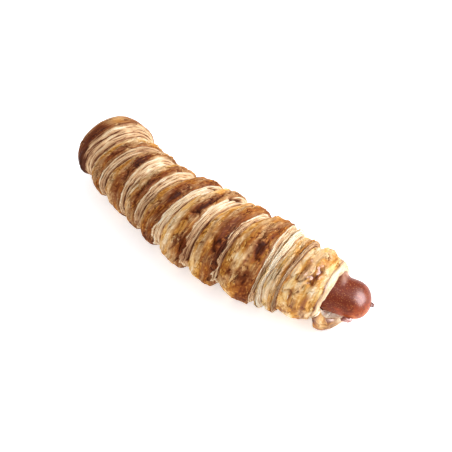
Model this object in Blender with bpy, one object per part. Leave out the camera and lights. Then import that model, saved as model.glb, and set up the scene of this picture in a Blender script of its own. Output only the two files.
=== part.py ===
"""A sausage baked in a spiral of puff pastry.

One long strip of dough is wound round the sausage from the near end to the far end, so each
turn lies over the edge of the turn before it and shows a stepped, layered cut edge. The
sausage runs right through, and its rounded tip stands out of the near end over a loose
corner of the strip. Sizes below are in millimetres, and the meshes are made in metres.
The roll's axis is an arc in plan: the far end is at -X and the near end at +X. The origin is
under the middle of the roll, where it rests.
"""

import math
from collections import namedtuple

import bmesh
import bpy
from mathutils import Matrix, Vector, noise

MM = 0.001
WELD = 0.002
A_HAIR = 1e-6

# The roll's axis, which droops towards the near tip
BEND_RADIUS = 263.0
AXIS_HEIGHT = 20.6
DROOP = 4.4
DROOP_FROM = 50.0
DROOP_TO = 110.0

# The sausage, with the knot of its skin at the near tip
SAUSAGE_RADIUS = 10.6
SAUSAGE_FAR = -93.0
SAUSAGE_NEAR = 102.8
SAUSAGE_TIP_LENGTH = 11.5
SAUSAGE_TIP_POWER = 2.6
SAUSAGE_TIP_SHARES = (0.03, 0.12, 0.28, 0.5, 0.75, 1.0)
SAUSAGE_SEGMENTS = 28
SAUSAGE_RING_STEP = 9.0
SAUSAGE_FINE_FROM = 80.0
SAUSAGE_FINE_STEP = 2.2
KNOT_RADIUS = 1.3
KNOT_LENGTH = 1.9
KNOT_SHARES = (0.0, 0.35, 0.7, 0.93)

# Where the sausage swells out of the opening: along the axis, in turns round it, and half its
# length and spread
BULGE_ALONG = 85.5
BULGE_COUNT = 0.12
BULGE_REACH = 4.0
BULGE_SPREAD = 0.17
BULGE_HEIGHT = 1.9

# The hole that the sausage leaves in the dough
BORE_RADIUS = SAUSAGE_RADIUS + 0.45
BORE_RINGS = 12
BORE_INSET = 1.0
LIP_RADIUS = BORE_RADIUS + 1.3

# The dough's inner face between that hole's mouth and the near rim
MOUTH = 80.0
THROAT_SHARES = (0.3, 0.65)
THROAT_SWELL = 0.9
THROAT_LENGTH = 12.0

# The far end of the dough, which is cut askew, and the winding, counted in turns from the
# first crest
FAR_END = -95.6
FAR_SKEW = 1.6
TAIL_START = -0.75
TAIL_LENGTH = 1.2
TAIL_TAPER = 0.45
TAIL_BROW = 16.5
TAIL_SHARE = 0.12
RIM_END = 10.72
STEPS_PER_TURN = 36

# One row for each turn, from the far end to the near one. crest and front are where the
# turn's upper edge crosses the top and the front of the roll, along the axis. brow is that
# edge's radius and belly how far the skin swells before it. run and front_run are the cut
# side's length along the axis at the top and the front, and drop is its depth.
Turn = namedtuple("Turn", "crest front brow belly run front_run drop")
TURNS = (
    Turn(-78.2, -82.5, 23.7, 0.0, 9.0, 8.0, 3.4),
    Turn(-59.8, -64.0, 21.6, 0.8, 4.4, 3.6, 3.0),
    Turn(-46.0, -46.0, 21.8, 0.8, 6.4, 3.4, 3.8),
    Turn(-29.6, -32.6, 22.6, 0.8, 5.6, 3.6, 3.6),
    Turn(-10.2, -19.0, 24.2, 0.6, 3.0, 5.4, 4.0),
    Turn(6.4, 1.4, 25.4, 0.6, 4.4, 5.6, 4.4),
    Turn(24.8, 21.8, 24.8, 1.0, 3.0, 3.4, 4.2),
    Turn(47.8, 44.6, 24.4, 1.2, 4.4, 3.4, 3.2),
    Turn(53.2, 47.8, 23.4, 0.0, 2.6, 2.0, 2.4),
    Turn(62.0, 56.2, 22.4, 0.6, 1.4, 1.4, 1.6),
    Turn(81.0, 76.2, 17.6, 3.8, 2.4, 2.4, 5.0),
)
FRONT_SHARE = 80 / 360

# The strip's first corner lies on the tray under the sausage, as a tongue. One row for each
# place round it, from the back to the front: the turn count, where the edge is along the
# axis, the radius of its outside and that of its inside, and how far its end is rounded out
Tongue = namedtuple("Tongue", "count along outer inner rounding")
TONGUE = (
    Tongue(10.30, 84.5, 17.6, 12.6, 1.4),
    Tongue(10.40, 88.0, 19.0, 12.6, 1.6),
    Tongue(10.46, 90.0, 20.0, 12.6, 1.9),
    Tongue(10.51, 89.5, 20.4, 12.8, 2.1),
    Tongue(10.55, 86.0, 20.6, 13.2, 2.2),
    Tongue(10.59, 82.2, 21.4, 14.0, 2.1),
    Tongue(10.62, 79.8, 22.2, 14.6, 1.8),
    Tongue(10.655, 77.8, 21.6, 14.2, 1.2),
    Tongue(10.69, 77.6, 17.6, 13.2, 0.6),
    Tongue(10.72, 77.6, 13.4, 12.6, 0.1),
)
RIM_ROUNDING = 1.4

# Where the turned-up edge stands out further than the rest: the turn count, half the
# swelling's length in turns, and its height
Swell = namedtuple("Swell", "count reach height")
SWELLS = (
    Swell(0.12, 0.2, 1.0),
    Swell(3.2, 0.12, 0.8),
    Swell(4.19, 0.13, 2.2),
    Swell(5.2, 0.15, 3.0),
    Swell(6.2, 0.13, 2.2),
    Swell(7.17, 0.13, 2.0),
    Swell(8.18, 0.12, 1.6),
    Swell(9.98, 0.2, 1.0),
)

# Unevenness drawn out along the strip: its height, its length and breadth, and which of the
# many like it this is. Lengths are measured round a roll of the skin's mean radius
Lumps = namedtuple("Lumps", "height length breadth kind")
LUMPS_START = 0.5
SKIN_RADIUS = 22.0
EDGE_WAVE = Lumps(0.8, 53.0, 1.0, 12.3)
EDGE_RIPPLE = Lumps(0.5, 26.0, 1.0, 2.9)
SWELLING = Lumps(0.8, 9.0, 3.6, 3.1)
BLISTER = Lumps(1.4, 6.0, 3.4, 21.0)
BLISTER_LEVEL = 0.1

# Points across the skin, as shares of it, and down the cut edge's treads and risers, as
# shares of its run and of its drop
SKIN_SHARES = (0.0, 0.08, 0.26, 0.52, 0.76, 0.93, 1.0)
CUT_STEPS = ((0.07, 0.26), (0.34, 0.3), (0.41, 0.56), (0.68, 0.6), (0.76, 0.86), (1.0, 1.0))
STRIP_WIDTH = 16.0
RISE_POWER = 3
LIP_HEIGHT = 0.5
LIP_POWER = 8

# The skin is less uneven along its own two sides, and at the far end
SIDE_LUMPS = 0.35
FAR_LUMPS = 0.25
FAR_LUMPS_FROM = 0.3
FAR_LUMPS_TO = 0.9

GOLDEN_CRUST = (0.52, 0.25, 0.08, 1.0)
CRUST_ROUGHNESS = 0.55
SAUSAGE_SKIN = (0.26, 0.06, 0.028, 1.0)
SAUSAGE_ROUGHNESS = 0.3
SMOOTH_ANGLE = 40


def clear_scene():
    for old in list(bpy.data.objects):
        bpy.data.objects.remove(old)


def clamp(value, low, high):
    return max(low, min(high, value))


def smooth(share):
    share = clamp(share, 0.0, 1.0)
    return share * share * (3 - 2 * share)


def monotone_slopes(knots):
    """Slopes at each knot that keep a cubic from overshooting."""
    steps = [(b[1] - a[1]) / (b[0] - a[0]) for a, b in zip(knots, knots[1:])]
    slopes = [steps[0]]
    for before, after in zip(steps, steps[1:]):
        if before * after <= 0:
            slopes.append(0.0)
        else:
            slopes.append(2 * before * after / (before + after))
    slopes.append(steps[-1])
    return slopes


def cubic(knots, slopes, at):
    """The height of a smooth curve through the knots, held level past both ends."""
    at = clamp(at, knots[0][0], knots[-1][0])
    index = next(i for i in range(len(knots) - 1) if at <= knots[i + 1][0])
    (x0, y0), (x1, y1) = knots[index], knots[index + 1]
    width = x1 - x0
    share = (at - x0) / width
    square, cube = share**2, share**3
    return (
        y0 * (2 * cube - 3 * square + 1)
        + slopes[index] * width * (cube - 2 * square + share)
        + y1 * (3 * square - 2 * cube)
        + slopes[index + 1] * width * (cube - square)
    )


def edge_knots():
    """Where the winding's upper edge lies along the axis, against the turn count."""
    knots = [(TAIL_START, FAR_END + TAIL_LENGTH)]
    for number, turn in enumerate(TURNS):
        knots.append((number - FRONT_SHARE, turn.front))
        knots.append((number, turn.crest))
    knots += [(place.count, place.along) for place in TONGUE]
    return knots


class Curve:
    """A smooth curve through knots."""

    def __init__(self, knots):
        self.knots = knots
        self.slopes = monotone_slopes(knots)

    def at(self, place):
        return cubic(self.knots, self.slopes, place)


def run_knots():
    """The length of the cut side along the axis, against the turn count."""
    knots = []
    for number, turn in enumerate(TURNS):
        knots.append((number - FRONT_SHARE, turn.front_run))
        knots.append((number, turn.run))
    return knots


def turn_curve(field, rim_field):
    """A column of TURNS against the turn count, going on along a column of TONGUE."""
    knots = [(number, getattr(turn, field)) for number, turn in enumerate(TURNS)]
    knots += [(place.count, getattr(place, rim_field)) for place in TONGUE]
    return Curve([(TAIL_START, TAIL_BROW)] + knots)


EDGE = Curve(edge_knots())
RUN = Curve(run_knots())
BROW = turn_curve("brow", "outer")
RIM_INSIDE = Curve([(RIM_END - 1, LIP_RADIUS)] + [(place.count, place.inner) for place in TONGUE])
ROUNDING = Curve([(RIM_END - 1, RIM_ROUNDING)] + [(place.count, place.rounding) for place in TONGUE])


def lumps(shape, turn_count, across=LUMPS_START):
    lengthwise = 2 * math.pi * SKIN_RADIUS * turn_count / shape.length
    return shape.height * noise.noise(Vector((lengthwise, across / shape.breadth, shape.kind)))


def edge_at(turn_count):
    return EDGE.at(turn_count) + lumps(EDGE_WAVE, turn_count)


def brow_at(turn_count):
    """The radius of the turned-up edge."""
    swell = sum(
        swell.height * smooth(1 - abs(turn_count - swell.count) / swell.reach) for swell in SWELLS
    )
    return BROW.at(turn_count) + lumps(EDGE_RIPPLE, turn_count) + swell


def tail_taper(turn_count):
    """The strip's last end narrows, and is tucked in at the far opening."""
    return TAIL_SHARE + (1 - TAIL_SHARE) * smooth((turn_count - TAIL_START) / TAIL_TAPER)


def turn_value(turn_count, field):
    """A column of TURNS, blended from crest to crest."""
    place = clamp(turn_count, 0.0, len(TURNS) - 1.0)
    index = min(int(place), len(TURNS) - 2)
    share = smooth(place - index)
    return getattr(TURNS[index], field) * (1 - share) + getattr(TURNS[index + 1], field) * share


def axis_frame(along):
    """The axis point and its left-hand side, at a distance along the arc."""
    angle = along / BEND_RADIUS
    droop = DROOP * smooth((along - DROOP_FROM) / (DROOP_TO - DROOP_FROM))
    bow = BEND_RADIUS * (1 - math.cos(angle))
    centre = Vector((BEND_RADIUS * math.sin(angle), bow, AXIS_HEIGHT - droop))
    side = Vector((-math.sin(angle), math.cos(angle), 0))
    return centre, side


def around(along, turn_count, radius):
    """A point round the axis: a whole turn count is the crest, and it grows to the back."""
    centre, side = axis_frame(along)
    angle = 2 * math.pi * turn_count
    return centre + side * (radius * math.sin(angle)) + Vector((0, 0, radius * math.cos(angle)))


def crag(turn_count, share):
    """Swellings and blisters of the baked skin, at a share of its width."""
    across = share * STRIP_WIDTH
    blister = lumps(BLISTER, turn_count, across) - BLISTER.height * BLISTER_LEVEL
    height = lumps(SWELLING, turn_count, across) + max(0.0, blister)
    from_end = smooth((turn_count - FAR_LUMPS_FROM) / (FAR_LUMPS_TO - FAR_LUMPS_FROM))
    height *= FAR_LUMPS + (1 - FAR_LUMPS) * from_end
    return height * (SIDE_LUMPS + (1 - SIDE_LUMPS) * math.sin(math.pi * share) ** 0.5)


def on_rim(turn_count):
    return turn_count > RIM_END - 1 + A_HAIR


def cut_foot(turn_count):
    """The foot of a turn's cut edge, where the next turn comes out from under it."""
    taper = tail_taper(turn_count)
    along = edge_at(turn_count) + RUN.at(turn_count) * taper
    if on_rim(turn_count):
        return along, RIM_INSIDE.at(turn_count)
    return along, brow_at(turn_count) - turn_value(turn_count, "drop") * taper


def far_start(turn_count):
    """The outer edge of the far opening."""
    skew = FAR_SKEW * math.cos(2 * math.pi * (turn_count + FRONT_SHARE))
    return FAR_END + FAR_SKEW + skew, LIP_RADIUS


def skin_places(turn_count, start, brow):
    """Places along the axis and radii across the skin, from its buried side to its brow."""
    belly = turn_value(turn_count, "belly")
    for share in SKIN_SHARES:
        along = start[0] + (brow[0] - start[0]) * share
        rise = 1 - (1 - share) ** RISE_POWER
        radius = start[1] + (brow[1] - LIP_HEIGHT - start[1]) * rise
        radius += belly * math.sin(math.pi * share) + LIP_HEIGHT * share**LIP_POWER
        yield along, radius + (crag(turn_count, share) if share > 0 else 0)


def cut_places(turn_count, brow, foot):
    """Places and radii down the cut edge, which is stepped, but rounded at the near rim."""
    for index, (run_share, drop_share) in enumerate(CUT_STEPS):
        rounding = 0.0
        if on_rim(turn_count):
            run_share = (index + 1) / len(CUT_STEPS)
            drop_share = (1 - math.cos(math.pi * run_share)) / 2
            rounding = ROUNDING.at(turn_count) * math.sin(math.pi * run_share)
        along = brow[0] + (foot[0] - brow[0]) * run_share + rounding
        yield along, brow[1] + (foot[1] - brow[1]) * drop_share


def strip_section(turn_count):
    """Places along the axis and radii across the strip, from its buried side to its foot."""
    first_turn = turn_count < TAIL_START + 1 - A_HAIR
    start = far_start(turn_count) if first_turn else cut_foot(turn_count - 1)
    brow = edge_at(turn_count), brow_at(turn_count)
    skin = skin_places(turn_count, start, brow)
    return [*skin, *cut_places(turn_count, brow, cut_foot(turn_count))]


def rest_on_floor(point):
    """The roll has sagged on to the tray, so what would be below it is flat."""
    point.z = max(point.z, 0.0)
    return point


def add_winding(bm):
    """The dough's outer skin: a flat sheet, wound round the axis and welded turn to turn."""
    columns = round((RIM_END - TAIL_START) * STEPS_PER_TURN)
    across = len(SKIN_SHARES) + len(CUT_STEPS) - 1
    sheet = bmesh.ops.create_grid(bm, x_segments=across, y_segments=columns, size=0.5)["verts"]
    sections = [strip_section(TAIL_START + i / STEPS_PER_TURN) for i in range(columns + 1)]
    grid = {}
    for vert in sheet:
        place = round((vert.co.x + 0.5) * across)
        column = round((vert.co.y + 0.5) * columns)
        along, radius = sections[column][place]
        vert.co = rest_on_floor(around(along, TAIL_START + column / STEPS_PER_TURN, radius))
        grid[column, place] = vert
    tail = [grid[0, place] for place in range(across + 1)]
    bm.faces.new([*tail, grid[STEPS_PER_TURN - 1, 0]])
    rim = [grid[columns, place] for place in range(across + 1)]
    bm.faces.new([*rim, grid[columns - STEPS_PER_TURN + 1, across]])
    bmesh.ops.remove_doubles(bm, verts=bm.verts, dist=WELD)


def open_loops(bm):
    """The edges of the far and the near opening, told apart by their side of the roll."""
    loose = [edge for edge in bm.edges if edge.is_boundary]
    far = [edge for edge in loose if edge.verts[0].co.x < 0]
    near = [edge for edge in loose if edge.verts[0].co.x >= 0]
    return far, near


def closed_ring(bm, points):
    verts = [bm.verts.new(point) for point in points]
    return [bm.edges.new((verts[i - 1], verts[i])) for i in range(len(verts))]


def bore_ring(share):
    """Places round the hole, between the far opening (0) and its mouth (1)."""
    points = []
    for step in range(STEPS_PER_TURN):
        turn_count = RIM_END - 1 + step / STEPS_PER_TURN
        far = far_start(turn_count)[0] + BORE_INSET
        mouth = throat_place(step)[0]
        points.append(around(far + (mouth - far) * share, turn_count, BORE_RADIUS))
    return points


def throat_place(step):
    """The mouth of the hole, and the place and radius of the rim's foot, at one step round."""
    foot, inside = cut_foot(RIM_END - 1 + (step or STEPS_PER_TURN) / STEPS_PER_TURN)
    return min(foot, MOUTH) - BORE_INSET, foot, inside


def throat_ring(share):
    """Places round the inner face, between the hole's mouth (0) and the rim's foot (1)."""
    points = []
    for step in range(STEPS_PER_TURN):
        mouth, foot, inside = throat_place(step)
        length = clamp((foot - mouth) / THROAT_LENGTH, 0.0, 1.0)
        swell = THROAT_SWELL * length * math.sin(math.pi * share)
        radius = BORE_RADIUS + (inside - BORE_RADIUS) * share - swell
        turn_count = RIM_END - 1 + step / STEPS_PER_TURN
        place = around(mouth + (foot - mouth) * share, turn_count, max(radius, BORE_RADIUS))
        points.append(rest_on_floor(place))
    return points


def add_bore(bm, far_loop, near_loop):
    """The hole that the sausage fills, and the inner face round its mouth."""
    rings = [closed_ring(bm, bore_ring(ring / BORE_RINGS)) for ring in range(BORE_RINGS + 1)]
    rings += [closed_ring(bm, throat_ring(share)) for share in THROAT_SHARES]
    for one, two in zip([far_loop] + rings, rings + [near_loop]):
        bmesh.ops.bridge_loops(bm, edges=one + two)


def new_object(name, bm, colour, roughness):
    bmesh.ops.scale(bm, vec=(MM, MM, MM), verts=bm.verts)
    bmesh.ops.recalc_face_normals(bm, faces=bm.faces)
    mesh = bpy.data.meshes.new(name)
    bm.to_mesh(mesh)
    bm.free()
    material = bpy.data.materials.new(name)
    material.use_nodes = True
    shader = material.node_tree.nodes["Principled BSDF"]
    shader.inputs["Base Color"].default_value = colour
    shader.inputs["Roughness"].default_value = roughness
    mesh.materials.append(material)
    mesh.shade_smooth()
    mesh.set_sharp_from_angle(angle=math.radians(SMOOTH_ANGLE))
    made = bpy.data.objects.new(name, mesh)
    bpy.context.collection.objects.link(made)
    return made


def make_pastry():
    bm = bmesh.new()
    add_winding(bm)
    far_loop, near_loop = open_loops(bm)
    add_bore(bm, far_loop, near_loop)
    bmesh.ops.triangulate(bm, faces=bm.faces)
    return new_object("pastry", bm, GOLDEN_CRUST, CRUST_ROUGHNESS)


def sausage_radius(along, turn_count):
    """Full thickness along the middle, rounded off at both tips, with the knot at the near one."""
    room = min(along - SAUSAGE_FAR, SAUSAGE_NEAR - along)
    share = clamp(room / SAUSAGE_TIP_LENGTH, 0.0, 1.0)
    body = SAUSAGE_RADIUS * math.sqrt(1 - (1 - share) ** SAUSAGE_TIP_POWER)
    past = clamp((along - SAUSAGE_NEAR) / KNOT_LENGTH, -1.0, 1.0)
    knot = KNOT_RADIUS * math.sqrt(1 - past**2)
    apart = math.hypot((along - BULGE_ALONG) / BULGE_REACH,
                       ((turn_count - BULGE_COUNT + 0.5) % 1 - 0.5) / BULGE_SPREAD)
    return max(body, knot) + BULGE_HEIGHT * smooth(1 - apart)


def sausage_stations():
    """Where the sausage's rings lie along the axis, closer together where it swells."""
    far = [SAUSAGE_FAR + SAUSAGE_TIP_LENGTH * share for share in SAUSAGE_TIP_SHARES]
    near = [SAUSAGE_NEAR - SAUSAGE_TIP_LENGTH * share for share in reversed(SAUSAGE_TIP_SHARES)]
    stations = list(far)
    for end, step in ((SAUSAGE_FINE_FROM, SAUSAGE_RING_STEP), (near[0], SAUSAGE_FINE_STEP)):
        begin = stations[-1]
        count = round((end - begin) / step)
        stations += [begin + (end - begin) * i / count for i in range(1, count + 1)]
    knot = [SAUSAGE_NEAR + KNOT_LENGTH * share for share in KNOT_SHARES]
    return stations + near[1:] + knot


def make_sausage():
    bm = bmesh.new()
    rings = []
    for along in sausage_stations():
        counts = [i / SAUSAGE_SEGMENTS for i in range(SAUSAGE_SEGMENTS)]
        points = [around(along, count, sausage_radius(along, count)) for count in counts]
        rings.append(closed_ring(bm, points))
    for one, two in zip(rings, rings[1:]):
        bmesh.ops.bridge_loops(bm, edges=one + two)
    for end in (rings[0], rings[-1]):
        bmesh.ops.edgeloop_fill(bm, edges=end)
    bmesh.ops.triangulate(bm, faces=bm.faces)
    return new_object("sausage", bm, SAUSAGE_SKIN, SAUSAGE_ROUGHNESS)


def centre_on_floor(pieces):
    """Put the origin under the middle of the box round the roll, where it rests."""
    corners = [vert.co for piece in pieces for vert in piece.data.vertices]
    low = Vector([min(corner[axis] for corner in corners) for axis in range(3)])
    high = Vector([max(corner[axis] for corner in corners) for axis in range(3)])
    shift = Vector((-(low.x + high.x) / 2, -(low.y + high.y) / 2, -low.z))
    for piece in pieces:
        piece.data.transform(Matrix.Translation(shift))


def main():
    clear_scene()
    pieces = [make_pastry(), make_sausage()]
    centre_on_floor(pieces)
    for piece in pieces:
        print(piece.name, len(piece.data.polygons))


main()
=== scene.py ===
import math
import random

import bmesh
import bpy
from mathutils import Matrix, Vector, noise


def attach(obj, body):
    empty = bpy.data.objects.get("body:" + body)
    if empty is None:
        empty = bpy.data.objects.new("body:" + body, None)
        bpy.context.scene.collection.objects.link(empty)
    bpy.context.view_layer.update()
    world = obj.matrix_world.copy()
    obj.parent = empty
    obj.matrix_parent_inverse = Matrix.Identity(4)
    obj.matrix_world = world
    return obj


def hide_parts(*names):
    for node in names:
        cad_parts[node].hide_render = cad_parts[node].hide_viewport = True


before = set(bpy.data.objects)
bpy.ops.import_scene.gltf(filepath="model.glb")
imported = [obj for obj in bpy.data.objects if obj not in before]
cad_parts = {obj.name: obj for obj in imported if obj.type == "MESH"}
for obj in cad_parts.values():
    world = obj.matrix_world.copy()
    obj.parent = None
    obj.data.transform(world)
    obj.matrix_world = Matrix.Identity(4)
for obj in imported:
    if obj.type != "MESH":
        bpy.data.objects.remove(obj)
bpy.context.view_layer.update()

mm = 0.001

# The roll's arc, in millimetres, and how its dough is wound. One row for each turn, counted
# from the far end: where its upper edge crosses the top and the front of the roll, the edge's
# radius, the swelling of the skin before it, and the cut side's length at the top and at the
# front, and its depth
roll = dict(
    girth=2 * math.pi * 22, bendRadius=263.0, axisHeight=20.6, middle=(-3.614, -4.583),
    droop=4.4, droopFrom=50.0, droopTo=110.0,
    farEnd=-95.6, farSkew=1.6, lipRadius=12.35, boreRadius=11.05,
    mouth=80.0, throatSwell=0.9, throatLength=12.0, rimRounding=1.4,
    tailStart=-0.75, tailTaper=0.45, tailBrow=16.5, tailShare=0.12, rimEnd=10.72,
    frontShare=80 / 360,
    turns=(
        (-78.2, -82.5, 23.7, 0.0, 9.0, 8.0, 3.4),
        (-59.8, -64.0, 21.6, 0.8, 4.4, 3.6, 3.0),
        (-46.0, -46.0, 21.8, 0.8, 6.4, 3.4, 3.8),
        (-29.6, -32.6, 22.6, 0.8, 5.6, 3.6, 3.6),
        (-10.2, -19.0, 24.2, 0.6, 3.0, 5.4, 4.0),
        (6.4, 1.4, 25.4, 0.6, 4.4, 5.6, 4.4),
        (24.8, 21.8, 24.8, 1.0, 3.0, 3.4, 4.2),
        (47.8, 44.6, 24.4, 1.2, 4.4, 3.4, 3.2),
        (53.2, 47.8, 23.4, 0.0, 2.6, 2.0, 2.4),
        (62.0, 56.2, 22.4, 0.6, 1.4, 1.4, 1.6),
        (81.0, 76.2, 17.6, 3.8, 2.4, 2.4, 5.0),
    ),
    # turn count, place along the axis, outer and inner radius and rounding of the loose corner
    tongue=(
        (10.30, 84.5, 17.6, 12.6, 1.4),
        (10.40, 88.0, 19.0, 12.6, 1.6),
        (10.46, 90.0, 20.0, 12.6, 1.9),
        (10.51, 89.5, 20.4, 12.8, 2.1),
        (10.55, 86.0, 20.6, 13.2, 2.2),
        (10.59, 83.0, 21.8, 14.0, 2.1),
        (10.62, 80.8, 22.2, 14.4, 2.0),
        (10.655, 78.4, 21.6, 14.2, 1.8),
        (10.69, 77.2, 20.2, 13.2, 1.5),
        (10.72, 76.6, 18.4, 12.6, 1.0),
    ),
    # turn count, half the length in turns, height of each swelling of the edge
    swells=((0.12, 0.2, 1.0), (3.2, 0.12, 0.8), (4.19, 0.13, 2.2), (5.2, 0.15, 3.0),
            (6.2, 0.13, 2.2), (7.17, 0.13, 2.0), (8.18, 0.12, 1.6), (9.98, 0.2, 1.0)),
)

# How fine the dough is meshed, the strip's widths and the height of what shows on it, in
# millimetres. The first turn is calmer than the rest
dough = dict(
    stepsPerTurn=200, skinRows=26, layers=14, boreRings=14, throatRings=9, throatLumps=0.9,
    stripWidth=16.0, cutWidth=6.0, calm=0.25, calmFrom=0.3, calmTo=0.9,
    edgeWave=0.8, edgeRipple=0.5, ragged=0.3, lip=0.6, drift=1.6, fineDrift=0.5, wander=0.7,
    swelling=0.8, plates=0.4, plateLevels=3.2, blisters=1.4, wrinkles=0.45, cracks=1.2,
    crackWidth=0.15, layerSpread=0.5, layerGap=0.7, groove=1.3,
    rimLumps=0.5, looseLumps=0.6, rimFolds=0.35, rimHumps=0.8,
    # the egg wash's gloss on the last turns, and how far the rim's layers show
    gloss=0.4, glossFrom=9.3, glossTo=9.8, rimLayers=0.4,
    # turn count, half the length in turns and height of the points that stick out at the side
    teeth=((4.736, 0.012, 1.7), (5.73, 0.012, 1.6)),
    # how dark the skin and the cut side of each turn are
    bakeOfTurn=(0.55, 0.40, 0.42, 0.38, 0.48, 0.31, 0.38, 0.41, 0.04, 0.21, 0.19),
    cutOfTurn=(0.42, 0.44, 0.39, 0.42, 0.2, 0.3, 0.2, 0.28, 0.04, 0.48, 0.12),
    # how much of each turn's skin is of the duller gold
    dullOfTurn=(0.8, 0.7, 0.65, 0.7, 0.55, 0.65, 0.45, 0.45, 0.35, 0.6, 0.45),
    # the share of each cut side that the browned skin still covers, at the top and at the front
    overTop=(0.0, 0.1, 0.05, 0.1, 0.1, 0.1, 0.3, 0.1, 0.0, 0.1, 0.1),
    overFront=(0.0, 0.15, 0.15, 0.2, 0.25, 0.45, 0.5, 0.15, 0.0, 0.1, 0.1),
)

# What each place adds to its turn's own darkness, which goes from nought, pale, to one, burnt.
# Some of it is painted shade: in the crevice where a skin comes out, in cracks and creases,
# between the cut side's layers, at the foot of each cut side and of the rim, and inside the
# hole. The pale line along each brow and each plate's edge is partly painted highlight
bakingAndShade = dict(
    skin=-0.1, towardsEdge=0.28, patches=0.15, patchesBehind=0.5, streaks=0.14, cracks=0.25,
    plateEdge=-0.2, shadeWhereComingOut=0.3,
    brow=-0.22, layerStreaks=0.2, gaps=0.5, foot=0.3, low=0.08, skinOverCut=0.22,
    rim=0.27, rimStreaks=0.16, rimPatches=0.2, rimFootShade=0.25, rimEdge=0.3,
    loose=-0.14, loosePatches=0.3, lobe=0.3, lobePatches=0.4,
    throat=0.02, throatSpots=0.25, boreShade=0.9, openings=0.15,
)

# The noise that all that is uneven is drawn from. One row for each pattern: its size along the
# strip and across it, and a seed. The sizes are in millimetres, or in turns, steps and shares
# where the pattern is laid out in those
patterns = dict(
    edgeWave=(53, 1, 12.3), edgeRagged=(1 / 21, 1 / 3, 4.3),
    browRipple=(26, 1, 2.9), browRagged=(1 / 26, 1 / 7, 6.1),
    drift=(12, 6, 1.7), fineDrift=(4, 3, 7.7), swelling=(9, 3.6, 3.1), blister=(6, 3.4, 21.0),
    plate=(11, 2.6, 9.4), wrinkle=(3, 1.1, 5.5), ridge=(9, 3, 30.2), torn=(17, 8, 14.0),
    wander=(1 / 30, 1, 61.0), layerSpread=(7, 2.2, 8.8), layerGap=(5, 1.7, 2.2),
    rimLump=(1 / 30, 1 / 2, 8.8), rimFold=(1 / 14, 1 / 9, 9.9), rimHump=(1 / 45, 1 / 3, 5.1),
    skinEnd=(1 / 26, 1, 71.0), skinEndFine=(1 / 90, 1, 73.0),
    patch=(13, 5, 44.0), drawn=(9, 1.6, 47.0), streak=(4, 0.8, 49.0), cloud=(10, 4, 91.0),
    throatLump=(9, 1 / 4, 17.0), throatFold=(3, 1 / 9, 19.0),
    throatSpot=(3, 1 / 9, 23.0), throatCloud=(7, 1 / 4, 27.0),
    knotLump=(1 / 0.9, 1 / 5, 3.0), scuff=(1 / 0.8, 1 / 20, 81.0),
)

# Where the crust is darker or paler than the rest. One row for each patch: the turn, its middle
# in degrees from the top, growing to the back, and as a share of the skin's width, or one plus a
# share of the cut side, half its length in degrees and half its width, and how much darker it is
patches = (
    (0, -35, 0.75, 45, 0.4, 0.15), (0, 12, 0.75, 18, 0.5, -0.3), (0, 40, 0.75, 22, 0.4, -0.04),
    (0, -90, 1.08, 35, 0.3, 0.8), (0, -62, 1.4, 28, 0.5, 0.12),
    (2, 15, 1.5, 25, 0.6, -0.25), (3, 0, 1.5, 30, 0.6, -0.1), (4, 25, 1.5, 20, 0.6, -0.2),
    (5, 20, 1.4, 20, 0.6, -0.25), (5, -70, 1.5, 40, 0.7, 0.32), (6, -45, 1.5, 50, 0.7, 0.34),
    (7, -20, 1.3, 30, 0.4, -0.12), (7, -75, 1.5, 30, 0.6, 0.15),
    (1, -22, 0.8, 26, 0.28, 0.2), (1, 35, 0.45, 35, 0.5, -0.25), (1, -75, 0.65, 35, 0.35, 0.05),
    (2, -40, 0.7, 40, 0.3, 0.12), (2, -2, 0.85, 20, 0.28, 0.42), (2, 38, 0.4, 25, 0.4, -0.25),
    (3, -25, 0.85, 45, 0.22, 0.25), (3, 15, 0.3, 30, 0.3, -0.2), (3, -75, 0.5, 25, 0.4, 0.05),
    (4, -16, 0.8, 12, 0.2, 0.35), (4, 2, 0.62, 18, 0.3, 0.2), (4, 18, 0.1, 30, 0.2, -0.2),
    (5, -62, 0.5, 38, 0.6, -0.08), (5, -12, 0.78, 16, 0.22, 0.4), (5, 12, 0.85, 20, 0.2, 0.3),
    (5, 25, 0.4, 18, 0.25, -0.1),
    (6, -85, 0.5, 22, 0.5, -0.12), (6, -8, 0.82, 34, 0.18, 0.25), (6, -25, 0.4, 30, 0.4, 0.06),
    (6, 20, 0.15, 16, 0.2, -0.3),
    (7, -21, 0.76, 10, 0.16, 0.5), (7, -63, 0.78, 13, 0.18, 0.3), (7, -66, 0.28, 7, 0.15, 0.3),
    (7, -14, 0.3, 18, 0.3, 0.12), (7, -42, 0.4, 12, 0.2, -0.2), (7, -88, 0.85, 12, 0.2, 0.15),
    (7, 12, 0.88, 20, 0.14, 0.15),
    (9, -60, 0.5, 45, 0.6, -0.1), (9, -15, 0.95, 30, 0.15, 0.25), (9, 30, 0.4, 25, 0.4, -0.1),
    (10, -100, 0.5, 25, 0.6, 0.12), (10, -72, 0.72, 20, 0.09, 0.3), (10, -62, 0.3, 18, 0.08, 0.25),
    (10, -22, 0.3, 22, 0.14, 0.4), (10, -22, 0.68, 22, 0.12, 0.3), (10, -50, 0.93, 90, 0.1, -0.25),
    (10, -45, 0.5, 10, 0.3, -0.15), (10, 5, 0.4, 14, 0.3, 0.12),
)

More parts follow.
